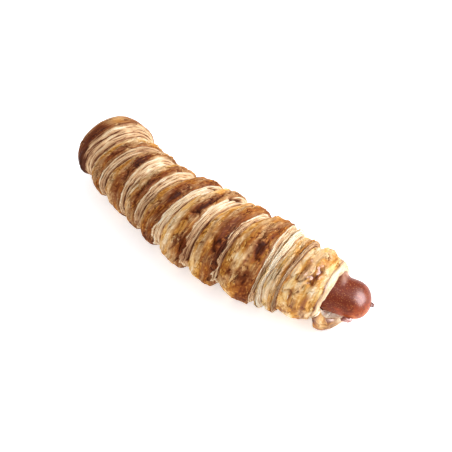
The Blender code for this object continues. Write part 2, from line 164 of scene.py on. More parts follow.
# The creases and gaps that show. One row for each: the turn, where it starts and ends, in degrees
# from the top and as a share of the skin's width, or one plus a share of the cut side, and half
# its width and its depth in millimetres
creases = (
    (0, -70, 1.35, 25, 1.3, 0.5, 0.9),
    (2, -85, 1.75, -20, 1.55, 0.6, 1.2),
    (3, -60, 1.5, 10, 1.45, 0.5, 0.8),
    (4, -100, 1.3, -60, 1.5, 0.5, 0.8), (4, 36, 1.45, 56, 1.7, 1.1, 2.4),
    (5, -66, 0.28, -44, 0.36, 0.8, 1.0), (5, -60, 0.6, -30, 0.5, 0.8, 1.1),
    (5, -72, 0.8, -36, 0.7, 0.8, 1.0), (5, -90, 0.45, -66, 0.5, 0.8, 0.8),
    (5, -110, 1.15, -40, 1.08, 0.5, 1.2), (5, 33, 1.2, 58, 1.6, 1.3, 3.0),
    (6, -60, 1.6, -30, 1.4, 0.5, 1.2), (6, -28, 1.45, 22, 1.55, 0.6, 1.4),
    (7, -64, 0.5, -30, 0.64, 0.8, 1.2), (7, -40, 0.3, -22, 0.26, 0.8, 0.8),
    (7, -50, 1.5, 10, 1.55, 0.5, 1.0),
    (8, -35, 1.85, 5, 1.85, 0.5, 1.0),
    (9, -60, 0.55, -20, 0.5, 0.8, 1.0), (9, -40, 0.8, 10, 0.75, 0.8, 0.8),
    (10, -62, 0.3, -50, 0.34, 0.7, 0.6), (10, -40, 0.62, -33, 0.6, 0.7, 0.8),
)


def clamp(value, low=0.0, high=1.0):
    return max(low, min(high, value))


def smooth(share):
    share = clamp(share)
    return share * share * (3 - 2 * share)


def fade(value, low, high):
    return smooth((value - low) / (high - low))


def pattern(name, along, across=0.5):
    size, sizeAcross, seed = patterns[name]
    return noise.noise(Vector((along / size, across / sizeAcross, seed)))


class Curve:
    # a smooth line through points, which doesn't overshoot, level past both ends
    def __init__(self, points):
        self.points = points
        steps = [(b[1] - a[1]) / (b[0] - a[0]) for a, b in zip(points, points[1:])]
        self.slopes = [steps[0]]
        for before, after in zip(steps, steps[1:]):
            turnsBack = before * after <= 0
            self.slopes.append(0.0 if turnsBack else 2 * before * after / (before + after))
        self.slopes.append(steps[-1])

    def at(self, place):
        points, slopes = self.points, self.slopes
        place = clamp(place, points[0][0], points[-1][0])
        i = next(k for k in range(len(points) - 1) if place <= points[k + 1][0])
        (x0, y0), (x1, y1) = points[i], points[i + 1]
        width = x1 - x0
        t = (place - x0) / width
        square, cube = t * t, t * t * t
        return (y0 * (2 * cube - 3 * square + 1) + slopes[i] * width * (cube - 2 * square + t)
                + y1 * (3 * square - 2 * cube) + slopes[i + 1] * width * (cube - square))


def edgePoints():
    points = [(roll["tailStart"], roll["farEnd"] + 1.2)]
    for number, row in enumerate(roll["turns"]):
        points += [(number - roll["frontShare"], row[1]), (number, row[0])]
    return points + [(row[0], row[1]) for row in roll["tongue"]]


edgeLine = Curve(edgePoints())
runLine = Curve([point for number, row in enumerate(roll["turns"])
                 for point in ((number - roll["frontShare"], row[5]), (number, row[4]))])
browLine = Curve([(roll["tailStart"], roll["tailBrow"])]
                 + [(number, row[2]) for number, row in enumerate(roll["turns"])]
                 + [(row[0], row[2]) for row in roll["tongue"]])
insideLine = Curve([(roll["rimEnd"] - 1, roll["lipRadius"])]
                   + [(row[0], row[3]) for row in roll["tongue"]])
roundingLine = Curve([(roll["rimEnd"] - 1, roll["rimRounding"])]
                     + [(row[0], row[4]) for row in roll["tongue"]])


def turnValue(count, column):
    rows = roll["turns"]
    place = clamp(count, 0.0, len(rows) - 1.0)
    i = min(int(place), len(rows) - 2)
    share = smooth(place - i)
    return rows[i][column] * (1 - share) + rows[i + 1][column] * share


def ofTurn(values, count):
    # a value for each turn, which goes over to the next one's out of sight
    place = clamp(count + 0.08, 0.0, len(values) - 1.0)
    i = min(int(place), len(values) - 2)
    share = fade(place - i, 0.3, 0.7)
    return values[i] * (1 - share) + values[i + 1] * share


def edgeAt(count):
    wave = dough["edgeWave"] * pattern("edgeWave", roll["girth"] * count)
    return edgeLine.at(count) + wave + dough["ragged"] * pattern("edgeRagged", count)


def browAt(count):
    ripple = dough["edgeRipple"] * pattern("browRipple", roll["girth"] * count)
    ragged = 0.8 * dough["ragged"] * pattern("browRagged", count)
    swell = sum(height * smooth(1 - abs(count - at) / reach)
                for at, reach, height in (*roll["swells"], *dough["teeth"]))
    return browLine.at(count) + ripple + ragged + swell


def tailTaper(count):
    share = smooth((count - roll["tailStart"]) / roll["tailTaper"])
    return roll["tailShare"] + (1 - roll["tailShare"]) * share


def footAt(count):
    # where the cut side ends and the next turn comes out from under it
    taper = tailTaper(count)
    along = edgeAt(count) + runLine.at(count) * taper
    if count > roll["rimEnd"] - 1 + 1e-6:
        return along, insideLine.at(count)
    depth = (turnValue(count, 6) + dough["groove"]) * taper
    return along, browAt(count) - depth * (1 - 0.5 * fade(count, 9.4, 9.62))


def farStart(count):
    skew = roll["farSkew"] * math.cos(2 * math.pi * (count + roll["frontShare"]))
    return roll["farEnd"] + roll["farSkew"] + skew, roll["lipRadius"]


def aroundAxis(along, count, radius):
    # a point round the roll's axis: a whole count is at the top, and it grows to the back
    bend = along / roll["bendRadius"]
    span = roll["droopTo"] - roll["droopFrom"]
    droop = roll["droop"] * smooth((along - roll["droopFrom"]) / span)
    angle = 2 * math.pi * count
    out = radius * math.sin(angle)
    x = roll["bendRadius"] * math.sin(bend) - out * math.sin(bend)
    y = roll["bendRadius"] * (1 - math.cos(bend)) + out * math.cos(bend)
    z = roll["axisHeight"] - droop + radius * math.cos(angle)
    return Vector((x + roll["middle"][0], y + roll["middle"][1], max(z, 0.0)))


def skinRelief(count, across, share):
    # plates, blisters, wrinkles and cracks of the baked skin, drawn out along the strip: their
    # height, how far it is cracked, and how near it is to a plate's edge
    lengthwise = roll["girth"] * count
    shifted = across + dough["drift"] * pattern("drift", lengthwise, across)
    shifted += dough["fineDrift"] * pattern("fineDrift", lengthwise, across)
    calm = dough["calm"] + (1 - dough["calm"]) * fade(count, dough["calmFrom"], dough["calmTo"])
    broad = dough["swelling"] * pattern("swelling", lengthwise, across)
    blister = dough["blisters"] * max(0.0, pattern("blister", lengthwise, across) - 0.1)
    level = dough["plateLevels"] * pattern("plate", lengthwise, shifted)
    step = math.floor(level)
    plate = dough["plates"] * (step + fade(level - step, 0.8, 1.0))
    wrinkle = dough["wrinkles"] * pattern("wrinkle", lengthwise, shifted)
    ridge = abs(pattern("ridge", lengthwise, shifted))
    torn = fade(pattern("torn", lengthwise, across), -0.15, 0.2) * calm
    crack = torn * (1 - fade(ridge, 0.0, dough["crackWidth"]))
    middle = math.sin(math.pi * clamp(share)) ** 0.5
    height = (broad + plate + blister) * (0.35 + 0.65 * middle)
    height += (wrinkle - dough["cracks"] * crack) * (0.4 + middle)
    plateEdge = fade(level - step, 0.72, 0.86) * (1 - fade(level - step, 0.93, 1.0)) * calm
    return height * calm, crack, plateEdge


def creaseAt(count, across):
    # how deep the creases are here, in millimetres
    turn = round(count)
    turned = (count - turn) * roll["girth"]
    across += dough["wander"] * pattern("wander", count)
    deepest = 0.0
    for number, degrees, place, endDegrees, endPlace, halfWidth, depth in creases:
        if number == turn:
            start = (degrees / 360 * roll["girth"], acrossAt(place))
            reach = (endDegrees / 360 * roll["girth"] - start[0], acrossAt(endPlace) - start[1])
            passed = (turned - start[0]) * reach[0] + (across - start[1]) * reach[1]
            passed = clamp(passed / (reach[0] ** 2 + reach[1] ** 2))
            apart = math.hypot(turned - start[0] - passed * reach[0],
                               across - start[1] - passed * reach[1])
            ends = 0.4 + 0.6 * math.sin(math.pi * passed)
            deepest = max(deepest, depth * ends * smooth(1 - apart / halfWidth))
    return deepest


def acrossAt(place):
    # millimetres across the strip at a share of its skin, or one plus a share of its cut side
    return min(place, 1.0) * dough["stripWidth"] + max(place - 1, 0.0) * dough["cutWidth"]


def layerRelief(count, share):
    # the thin layers of the cut side, standing in and out of it in turn, and how far in
    lengthwise = roll["girth"] * count
    place = share * dough["layers"]
    spread = dough["layerSpread"] * pattern("layerSpread", lengthwise, place)
    gap = 0.5 + pattern("layerGap", lengthwise, place)
    inward = gap * (0.0, 1.0, 0.0, -0.6)[round(place) % 4]
    return spread - dough["layerGap"] * inward, clamp(inward)


def stripSection(count):
    # the rows across the strip, each one its place along the axis, its radius, its shares of the
    # skin and of the cut side, its place across in millimetres, how deep it lies in a crack or
    # between layers, and how near it is to a plate's edge
    firstTurn = count < roll["tailStart"] + 1 - 1e-6
    start, startRadius = farStart(count) if firstTurn else footAt(count - 1)
    brow, browRadius = edgeAt(count), browAt(count)
    foot, footRadius = footAt(count)
    belly = turnValue(count, 3) * (1 - 0.85 * onTongue(count))
    rows = []
    for i in range(dough["skinRows"] + 1):
        share = i / dough["skinRows"]
        share = 0.5 * share + 0.5 * smooth(share)
        along = start + (brow - start) * share
        rise = 0.75 * (1 - (1 - share) ** 3) + 0.25 * (1 - (1 - share) ** 14)
        radius = startRadius + (browRadius - dough["lip"] - startRadius) * rise
        radius += belly * math.sin(math.pi * share) + dough["lip"] * share**8
        across = share * dough["stripWidth"]
        height, crack, plateEdge = skinRelief(count, across, share)
        crease = creaseAt(count, across)
        if i:
            radius += height * (1 - 0.6 * lowFront(count)) - crease
        rows.append((along, radius, share, 0.0, across, crack + crease, plateEdge))
    for i in range(1, dough["layers"] + 1):
        share = i / dough["layers"]
        rounding = offset = inset = 0.0
        if count > roll["rimEnd"] - 1 + 1e-6:
            deep = (1 - math.cos(math.pi * share)) / 2
            rounding = roundingLine.at(count) * math.sin(math.pi * share)
            lumps = dough["rimLumps"] + dough["looseLumps"] * onTongue(count)
            rounding += lumps * pattern("rimLump", count, share)
            rounding += dough["rimFolds"] * pattern("rimFold", count, share)
            hump = dough["rimHumps"] * (rounding - 1) * math.sin(math.pi * share)
            offset = hump * pattern("rimHump", count, share)
        else:
            deep = 0.16 * fade(share, 0.0, 0.08) + 0.64 * share + 0.2 * share**6
            if i < dough["layers"]:
                offset, inset = layerRelief(count, share)
                crease = creaseAt(count, acrossAt(1 + share))
                offset -= crease
                inset += crease
        along = brow + (foot - brow) * share + offset * 0.5 + rounding
        radius = browRadius + (footRadius - browRadius) * deep + offset
        across = dough["stripWidth"] + share * dough["cutWidth"]
        rows.append((along, radius, 1.0, share, across, inset, 0.0))
    return rows


def patchwork(count, place, streak):
    # how much darker the patches make it here
    turn = round(count)
    degrees = (count - turn) * 360
    total = 0.0
    for number, middle, across, reach, width, darker in patches:
        if number == turn:
            apart = math.hypot((degrees - middle) / reach, (place - across) / width)
            total += darker * (1 - fade(apart + 0.5 * streak, 0.3, 1.3))
    return total


def lowFront(count):
    # low at the front, where the cut sides are browner
    return fade((round(count) - count) * 360, 50, 95)


def onTongue(count):
    # on the loose corner under the sausage's tip
    return fade(count, 10.33, 10.45)


def onLobe(count):
    # on the rounded end of the loose corner
    return fade(count, 10.56, 10.62)


def skinEnd(count):
    # the share of the cut side down to which the browned skin covers it
    front = fade((round(count) - count) * 360, 5, 70)
    over = ofTurn(dough["overTop"], count) * (1 - front)
    over += ofTurn(dough["overFront"], count) * front
    return over * (1 + 0.9 * pattern("skinEnd", count) + 0.3 * pattern("skinEndFine", count))


def cutShown(count, cut):
    # nought where the browned skin still covers the cut side, one where its layers show
    over = skinEnd(count)
    return fade(cut, over - 0.02, over + 0.05) if cut > 0 else 0.0


def rimBakeAndShade(count, cut, streak, patch):
    loose = onTongue(count)
    level = bakingAndShade["rim"] + bakingAndShade["rimStreaks"] * streak
    level += bakingAndShade["rimPatches"] * patch * (1 - loose)
    # painted shade at the rim's foot, next to the sausage
    level += bakingAndShade["rimFootShade"] * fade(cut, 0.7, 1.0) * (1 - loose)
    level += bakingAndShade["rimEdge"] * (1 - fade(cut, 0.0, 0.3))
    level += loose * (bakingAndShade["loose"] + bakingAndShade["loosePatches"] * patch)
    return clamp(level + onLobe(count) * (bakingAndShade["lobe"] + bakingAndShade["lobePatches"] * patch))


def bakeAndShadeAt(count, row):
    # how dark it is: pale where a turn comes out, darkest at its turned-up edge, with painted
    # shade in the crevice it comes out of, in its cracks and creases, between the cut side's
    # layers and at its foot, and a pale line at the brow that is partly painted highlight
    share, cut, across, crack, plateEdge = row[2:]
    lengthwise = roll["girth"] * count
    patch = pattern("patch", lengthwise, across)
    drawn = pattern("drawn", lengthwise, across)
    streak = drawn + 0.5 * pattern("streak", lengthwise, across)
    spots = patchwork(count, share + cut, drawn)
    if cut > 0 and count > roll["rimEnd"] - 1:
        return rimBakeAndShade(count, cut, streak, patch)
    if cut > 0:
        level = ofTurn(dough["cutOfTurn"], count) + spots
        # a pale torn edge along the brow, partly a painted highlight where the flaky edge catches
        # the light
        level += bakingAndShade["brow"] * (1 - fade(abs(cut - skinEnd(count) - 0.08), 0.02, 0.1))
        # painted shade: darker where the cut side's layers lie further in, and in its creases
        level += bakingAndShade["layerStreaks"] * streak + bakingAndShade["gaps"] * crack
        # painted shade at the cut side's foot, where it goes into the crevice
        level += bakingAndShade["foot"] * fade(cut, 0.8, 1.0) + bakingAndShade["low"] * lowFront(count)
        skin = ofTurn(dough["bakeOfTurn"], count) + bakingAndShade["skinOverCut"] + spots
        skin += bakingAndShade["streaks"] * streak
        shown = cutShown(count, cut)
        return clamp(level * shown + skin * (1 - shown))
    behind = abs(count - round(count)) * 360 > 100
    level = ofTurn(dough["bakeOfTurn"], count) + spots + bakingAndShade["skin"]
    level += bakingAndShade["towardsEdge"] * fade(share, 0.1, 0.95)
    level += bakingAndShade["patchesBehind" if behind else "patches"] * patch
    # painted shade in the skin's cracks and creases
    level += bakingAndShade["streaks"] * streak + bakingAndShade["cracks"] * min(crack, 1.0)
    # paler at a plate's edge: unbrowned dough that is partly a painted highlight
    level += bakingAndShade["plateEdge"] * plateEdge
    # painted shade: a dark line in the crevice where the skin comes out
    return clamp(level + bakingAndShade["shadeWhereComingOut"] * (1 - fade(share, 0.0, 0.06)))


def dullness(count, across):
    # how much of the duller gold the skin has here
    cloud = 1.1 * pattern("cloud", roll["girth"] * count, across)
    return clamp(ofTurn(dough["dullOfTurn"], count) + cloud - 0.3 * onTongue(count))


def alongUV(count):
    # the length of the strip, in centimetres
    return 2 * math.pi * 2.2 * count


def addWinding(bm):
    # a flat sheet wound round the axis and welded turn to turn
    steps = dough["stepsPerTurn"]
    columns = round((roll["rimEnd"] - roll["tailStart"]) * steps)
    rowCount = dough["skinRows"] + dough["layers"]
    gloss = bm.verts.layers.float.new("gloss")
    layered = bm.verts.layers.float.new("layered")
    sheet = bmesh.ops.create_grid(bm, x_segments=rowCount, y_segments=columns, size=0.5)["verts"]
    sections = [stripSection(roll["tailStart"] + i / steps) for i in range(columns + 1)]
    uvLayer = bm.loops.layers.uv.new("strip")
    finish = bm.loops.layers.float_color.new("finish")
    place = {}
    grid = {}
    looks = {}
    for vert in sheet:
        row = round((vert.co.x + 0.5) * rowCount)
        column = round((vert.co.y + 0.5) * columns)
        grid[column, row] = vert
        place[vert] = (column, row)
    for (column, row), vert in grid.items():
        section = sections[column][row]
        count = roll["tailStart"] + column / steps
        vert.co = aroundAxis(section[0], count, section[1])
        bakeAndShade = bakeAndShadeAt(count, section)
        looks[column, row] = (section[4] / 10, bakeAndShade, dullness(count, section[4]))
        washed = fade(count, dough["glossFrom"], dough["glossTo"])
        vert[gloss] = dough["gloss"] * washed * fade(bakeAndShade, 0.3, 0.55)
        onRim = fade(count, roll["rimEnd"] - 1.02, roll["rimEnd"] - 1)
        vert[layered] = 1 - (1 - dough["rimLayers"]) * onRim
    for face in bm.faces:
        past = min(place[loop.vert][1] for loop in face.loops) >= dough["skinRows"]
        for loop in face.loops:
            column, row = place[loop.vert]
            across, bakeAndShade, dull = looks[column, row]
            cut = sections[column][row][3]
            count = roll["tailStart"] + column / steps
            onCut = cutShown(count, max(cut, 0.01)) * (1 - 0.9 * onLobe(count)) if past else 0.0
            loop[uvLayer].uv = (alongUV(count), across)
            # how dark it is, painted shade and highlight included, the layers that show, the share
            # of duller gold, and the cut
            loop[finish] = (bakeAndShade, onCut, dull, cut)
    tail = [grid[0, row] for row in range(rowCount + 1)]
    bm.faces.new([*tail, grid[steps - 1, 0]])
    rim = [grid[columns, row] for row in range(rowCount + 1)]
    end = bm.faces.new([*rim, grid[columns - steps + 1, rowCount]])
    for loop in end.loops:
        loop[finish] = (0.2, 1.0, 0.0, 0.5)
    bmesh.ops.remove_doubles(bm, verts=bm.verts, dist=0.0005)
    return sections


def throatPlace(step):
    # the mouth of the hole, and the rim's foot and its radius, at one step round
    turned = (step or dough["stepsPerTurn"]) / dough["stepsPerTurn"]
    foot, inside = footAt(roll["rimEnd"] - 1 + turned)
    return min(foot, roll["mouth"]) - 1.0, foot, inside


def borePoint(step, share):
    count = roll["rimEnd"] - 1 + step / dough["stepsPerTurn"]
    far = farStart(count)[0] + 1.0
    return aroundAxis(far + (throatPlace(step)[0] - far) * share, count, roll["boreRadius"])


def throatPoint(step, share):
    # the dough's inner face between the hole's mouth and the rim
    count = roll["rimEnd"] - 1 + step / dough["stepsPerTurn"]
    mouth, foot, inside = throatPlace(step)
    length = clamp((foot - mouth) / roll["throatLength"])
    lumps = pattern("throatLump", step, share) + 0.6 * pattern("throatFold", step, share)
    hump = math.sin(math.pi * share)
    radius = roll["boreRadius"] + (inside - roll["boreRadius"]) * share
    radius -= hump * (roll["throatSwell"] + dough["throatLumps"] * lumps) * length
    return aroundAxis(mouth + (foot - mouth) * share, count, max(radius, roll["boreRadius"]))


def addBore(bm):
    # the tube that the sausage fills, joined to both openings
    loose = [edge for edge in bm.edges if edge.is_boundary]
    farLoop = [edge for edge in loose if edge.verts[0].co.x < 0]
    nearLoop = [edge for edge in loose if edge.verts[0].co.x >= 0]
    places = [(borePoint, ring / dough["boreRings"]) for ring in range(dough["boreRings"] + 1)]
    places += [(throatPoint, ring / (dough["throatRings"] + 1))
               for ring in range(1, dough["throatRings"] + 1)]
    rings = [farLoop]
    bakeAndShade = {}
    for pointAt, share in places:
        verts = [bm.verts.new(pointAt(step, share)) for step in range(dough["stepsPerTurn"])]
        for step, vert in enumerate(verts):
            spots = pattern("throatSpot", step, share) + pattern("throatCloud", step, share)
            spotted = clamp(bakingAndShade["throat"] + bakingAndShade["throatSpots"] * spots)
            # the inside of the hole is dark: browned crust and painted shade in one
            bakeAndShade[vert] = spotted if pointAt is throatPoint else bakingAndShade["boreShade"]
        rings.append([bm.edges.new((verts[i - 1], verts[i])) for i in range(len(verts))])
    rings.append(nearLoop)
    made = []
    for one, two in zip(rings, rings[1:]):
        made += bmesh.ops.bridge_loops(bm, edges=one + two)["faces"]
    uvLayer = bm.loops.layers.uv["strip"]
    finish = bm.loops.layers.float_color["finish"]
    for face in made:
        for loop in face.loops:
            loop[uvLayer].uv = (loop.vert.co.y / 10, loop.vert.co.x / 10)
            loop[finish] = (bakeAndShade.get(loop.vert, bakingAndShade["openings"]), 1.0, 0.0, 0.6)


def finishPiece(name, bm, material, node):
    bmesh.ops.scale(bm, vec=(mm, mm, mm), verts=bm.verts)
    bmesh.ops.recalc_face_normals(bm, faces=bm.faces)
    mesh = bpy.data.meshes.new(name)
    bm.to_mesh(mesh)
    bm.free()
    mesh.materials.append(material)
    mesh.shade_smooth()
    piece = bpy.data.objects.new(name, mesh)
    bpy.context.collection.objects.link(piece)
    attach(piece, "root")
    if node:
        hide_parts(node)
    print(name, len(mesh.polygons), "faces")


def newMaterial(name):
    material = bpy.data.materials.new(name)
    material.use_nodes = True
    nodes, links = material.node_tree.nodes, material.node_tree.links
    return material, nodes, links, nodes["Principled BSDF"]


def rampOf(nodes, links, value, stops):
    node = nodes.new("ShaderNodeValToRGB")
    ramp = node.color_ramp
    while len(ramp.elements) < len(stops):
        ramp.elements.new(0.5)
    for element, (place, colour) in zip(ramp.elements, stops):
        element.position = place
        element.color = (*colour, 1)
    links.new(value, node.inputs["Fac"])
    return node.outputs["Color"]


def maskOf(nodes, links, value, *places):
    # white at the second place, black at the first one and past the third
    shades = ((0, 0, 0), (1, 1, 1), (0, 0, 0))
    return rampOf(nodes, links, value, tuple(zip(places, shades)))


def attributeOf(nodes, name):
    node = nodes.new("ShaderNodeAttribute")
    node.attribute_name = name
    return node.outputs


def noiseOf(nodes, links, vector, scale, stretch, detail):
    mapping = nodes.new("ShaderNodeMapping")
    mapping.inputs["Scale"].default_value = stretch
    links.new(vector, mapping.inputs["Vector"])
    node = nodes.new("ShaderNodeTexNoise")
    node.inputs["Scale"].default_value = scale
    node.inputs["Detail"].default_value = detail
    links.new(mapping.outputs["Vector"], node.inputs["Vector"])
    return node.outputs["Fac"]


def mathOf(nodes, links, operation, *values):
    node = nodes.new("ShaderNodeMath")
    node.operation = operation
    for socket, value in zip(node.inputs, values):
        if isinstance(value, (int, float)):
            socket.default_value = value
        else:
            links.new(value, socket)
    return node.outputs[0]


def aroundZero(nodes, links, value, span):
    # a noise value, shifted so that it adds as much as it takes away
    return mathOf(nodes, links, "MULTIPLY_ADD", value, span, -span / 2)


def offMiddle(nodes, links, value):
    return mathOf(nodes, links, "ABSOLUTE", mathOf(nodes, links, "SUBTRACT", value, 0.5))


def mixOf(nodes, links, share, first, second):
    node = nodes.new("ShaderNodeMix")
    node.data_type = "RGBA"
    for number, value in zip((0, 6, 7), (share, first, second)):
        if isinstance(value, tuple):
            node.inputs[number].default_value = (*value, 1)
        else:
            links.new(value, node.inputs[number])
    return node.outputs[2]


def addBump(nodes, links, shader, height, strength, distance):
    bump = nodes.new("ShaderNodeBump")
    bump.inputs["Strength"].default_value = strength
    bump.inputs["Distance"].default_value = distance
    links.new(height, bump.inputs["Height"])
    links.new(bump.outputs["Normal"], shader.inputs["Normal"])


# The dough's colours, from pale to burnt: a warm and a duller golden skin, and the cut side, how
# much each noise changes them, with painted shade in the thin cracks (fissures) and a paler edge
# beside them (flaking) that is partly painted highlight, its finish, and its relief in metres
doughColours = dict(
    warm=((0.0, (0.88, 0.61, 0.28)), (0.15, (0.77, 0.44, 0.14)), (0.3, (0.60, 0.27, 0.055)),
          (0.45, (0.44, 0.167, 0.028)), (0.6, (0.29, 0.083, 0.015)), (0.75, (0.17, 0.037, 0.007)),
          (0.9, (0.10, 0.020, 0.005)), (1.0, (0.06, 0.013, 0.005))),
    dull=((0.0, (0.90, 0.73, 0.50)), (0.15, (0.78, 0.53, 0.29)), (0.3, (0.62, 0.38, 0.18)),
          (0.45, (0.46, 0.24, 0.10)), (0.6, (0.30, 0.12, 0.042)), (0.75, (0.17, 0.043, 0.012)),
          (0.9, (0.10, 0.024, 0.008)), (1.0, (0.06, 0.014, 0.006))),
    cut=((0.0, (0.96, 0.90, 0.76)), (0.3, (0.87, 0.69, 0.45)), (0.5, (0.69, 0.44, 0.24)),
         (0.7, (0.46, 0.24, 0.12)), (0.9, (0.20, 0.075, 0.035)), (1.0, (0.10, 0.03, 0.014))),
    streaks=0.5, specks=0.16, clouds=1.6, lines=0.5, thinLines=0.4, pores=0.15, fissures=0.25,
    flaking=0.2, roughness=0.6, cutRoughness=0.1, specular=0.03, coatRoughness=0.3,
    bump=0.9, relief=0.0012, speckRelief=0.4, fissureRelief=-0.5,
)

# How each noise in the dough's finish is stretched along and across the strip, and its detail
stripNoise = dict(
    streaks=((1.1, 9.0, 1.0), 6.0), specks=((9.0, 16.0, 1.0), 5.0), lines=((0.5, 15.0, 1.0), 2.0),
    clouds=((0.6, 2.5, 1.0), 3.0), plates=((1.6, 4.5, 1.0), 2.0), torn=((1.3, 1.9, 1.0), 1.0),
)


def bakedDough():
    material, nodes, links, shader = newMaterial("bakedDough")
    uv = nodes.new("ShaderNodeUVMap")
    uv.uv_map = "strip"
    noises = {name: noiseOf(nodes, links, uv.outputs["UV"], 1.0, *row)
              for name, row in stripNoise.items()}
    parts = nodes.new("ShaderNodeSeparateColor")
    links.new(attributeOf(nodes, "finish")["Color"], parts.inputs["Color"])
    bakeAndShade, onCut, dullShare = parts.outputs
    streaks = aroundZero(nodes, links, noises["streaks"], doughColours["streaks"])
    specks = aroundZero(nodes, links, noises["specks"], doughColours["specks"])
    level = mathOf(nodes, links, "ADD", bakeAndShade, mathOf(nodes, links, "ADD", streaks, specks))
    # thin cracks where one noise passes through its middle, in the places another one picks,
    # darkened as painted shade, and the paler side of each of them, unbrowned flake edges that are
    # partly painted highlight
    torn = maskOf(nodes, links, noises["torn"], 0.48, 0.58)
    crossing = offMiddle(nodes, links, noises["plates"])
    fissure = rampOf(nodes, links, crossing, ((0.0, (1, 1, 1)), (0.03, (0, 0, 0))))
    fissures = mathOf(nodes, links, "MULTIPLY", fissure, torn)
    fissures = mathOf(nodes, links, "MULTIPLY", fissures,
                      mathOf(nodes, links, "SUBTRACT", 1.0, onCut))
    level = mathOf(nodes, links, "MULTIPLY_ADD", fissures, doughColours["fissures"], level)
    flaking = maskOf(nodes, links, noises["plates"], 0.52, 0.55, 0.6)
    flaking = mathOf(nodes, links, "MULTIPLY", flaking, torn)
    level = mathOf(nodes, links, "MULTIPLY_ADD", flaking, -doughColours["flaking"], level)
    warm = rampOf(nodes, links, level, doughColours["warm"])
    dull = rampOf(nodes, links, level, doughColours["dull"])
    clouds = aroundZero(nodes, links, noises["clouds"], doughColours["clouds"])
    dullShare = mathOf(nodes, links, "ADD", dullShare, clouds)
    skin = mixOf(nodes, links, maskOf(nodes, links, dullShare, 0.25, 0.8), warm, dull)
    # the cut side: broad and thin lines along its layers, and pores
    lined = aroundZero(nodes, links, noises["lines"], doughColours["lines"])
    crossing = offMiddle(nodes, links, noises["lines"])
    thin = rampOf(nodes, links, crossing, ((0.0, (1, 1, 1)), (0.045, (0, 0, 0))))
    lined = mathOf(nodes, links, "MULTIPLY_ADD", thin, doughColours["thinLines"], lined)
    lined = mathOf(nodes, links, "MULTIPLY", lined, attributeOf(nodes, "layered")["Fac"])
    pores = maskOf(nodes, links, noises["specks"], 0.60, 0.68)
    lined = mathOf(nodes, links, "MULTIPLY_ADD", pores, doughColours["pores"], lined)
    layers = rampOf(nodes, links, mathOf(nodes, links, "ADD", bakeAndShade, lined), doughColours["cut"])
    links.new(mixOf(nodes, links, onCut, skin, layers), shader.inputs["Base Color"])
    rough = mathOf(nodes, links, "MULTIPLY_ADD", onCut, doughColours["cutRoughness"],
                   doughColours["roughness"])
    links.new(rough, shader.inputs["Roughness"])
    shader.inputs["Specular IOR Level"].default_value = doughColours["specular"]
    links.new(attributeOf(nodes, "gloss")["Fac"], shader.inputs["Coat Weight"])
    shader.inputs["Coat Roughness"].default_value = doughColours["coatRoughness"]
    height = mathOf(nodes, links, "MULTIPLY", noises["lines"], onCut)
    height = mathOf(nodes, links, "ADD", noises["streaks"], height)
    height = mathOf(nodes, links, "MULTIPLY_ADD", noises["specks"], doughColours["speckRelief"],
                    height)
    height = mathOf(nodes, links, "MULTIPLY_ADD", fissures, doughColours["fissureRelief"], height)
    addBump(nodes, links, shader, height, doughColours["bump"], doughColours["relief"])
    return material


def makePastry(material):
    bm = bmesh.new()
    sections = addWinding(bm)
    addBore(bm)
    bmesh.ops.triangulate(bm, faces=[face for face in bm.faces if len(face.verts) > 4])
    finishPiece("bakedPastry", bm, material, "pastry")
    return sections


# Thin flakes that stand a little off the crust: how many, their sizes in steps round and rows
# across, how far their free side stands up and how thick they are, in millimetres, and where
# there are none: low down, between two counts of turns, and on the last steps and outer rows
flakes = dict(number=260, seed=7, steps=(4, 11), width=(0.8, 2.0), segments=3, pointed=0.12,
              sunk=0.15, lift=(0.2, 0.7), curl=1.5, thickness=0.2, paler=0.12, dull=0.6,
              cutShare=0.3, lowest=-0.75, none=(7.6, 9.3), lastSteps=80, skinMargin=3, cutMargin=4)


def sectionPoint(sections, column, row):
    # a place along the axis and a radius between two rows of the strip
    rows = sections[column]
    low = min(int(row), len(rows) - 2)
    share = row - low
    return [a * (1 - share) + b * share for a, b in zip(rows[low][:2], rows[low + 1][:2])]


